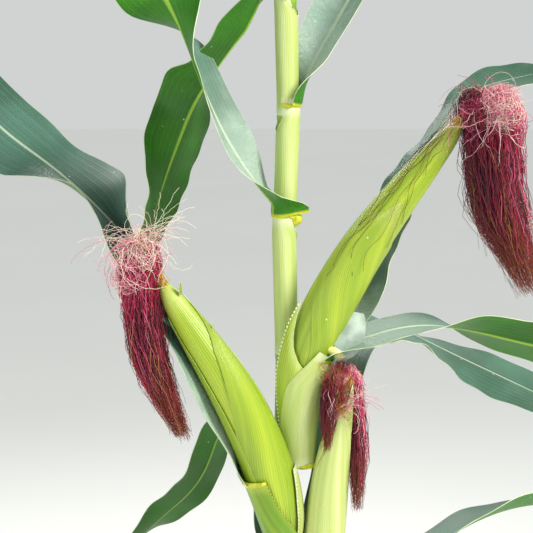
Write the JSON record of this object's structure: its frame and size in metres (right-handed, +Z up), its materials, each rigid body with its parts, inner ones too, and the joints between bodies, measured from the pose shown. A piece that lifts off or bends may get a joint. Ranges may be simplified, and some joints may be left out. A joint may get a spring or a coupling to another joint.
{
  "type": "maize plant",
  "caption": "Whole rooted maize plant with a noded stalk, two ranks of arching blades, husked ears with hanging silk and a tassel.",
  "frame": {"origin": "centre of the flat cut under the stalk, at ground level", "axes": "+Z up along the stalk, the two ranks of leaves spread along X, the ears stand on the -Y side"},
  "size_m": [1.2988, 0.4601, 2.2803],
  "materials": {
    "stalk": "smooth pale green sheath and cane, slightly waxy",
    "leaf": "dark green blade with fine veins and a satin sheen",
    "husk": "yellow-green husk with lengthwise veins, satin",
    "silk": "fine crimson threads, dull",
    "tassel": "straw-yellow spikelets, dull"
  },
  "bodies": {
    "root": {"stalk": "stalk", "leaf_01_base": "leaf", "leaf_01_tip": "leaf", "leaf_02_base": "leaf", "leaf_02_tip": "leaf", "leaf_03_base": "leaf", "leaf_03_tip": "leaf", "leaf_04_base": "leaf", "leaf_04_tip": "leaf", "leaf_05_base": "leaf", "leaf_05_tip": "leaf", "leaf_06_base": "leaf", "leaf_06_tip": "leaf", "leaf_07_base": "leaf", "leaf_07_tip": "leaf", "leaf_08_base": "leaf", "leaf_08_tip": "leaf", "leaf_09_base": "leaf", "leaf_09_tip": "leaf", "leaf_10_base": "leaf", "leaf_10_tip": "leaf", "leaf_11_base": "leaf", "leaf_11_tip": "leaf", "leaf_12_base": "leaf", "leaf_12_tip": "leaf", "leaf_13_base": "leaf", "leaf_13_tip": "leaf", "leaf_14_base": "leaf", "leaf_14_tip": "leaf", "leaf_15_base": "leaf", "leaf_15_tip": "leaf", "leaf_16_base": "leaf", "leaf_16_tip": "leaf", "husk_blade": "leaf", "ear_upper": "husk", "ear_left": "husk", "ear_lower": "husk", "sheath_upper": "husk", "sheath_left": "husk", "sheath_lower": "husk", "silk_upper": "silk", "silk_left": "silk", "silk_lower": "silk", "tassel": "tassel"}
  },
  "joints": []
}
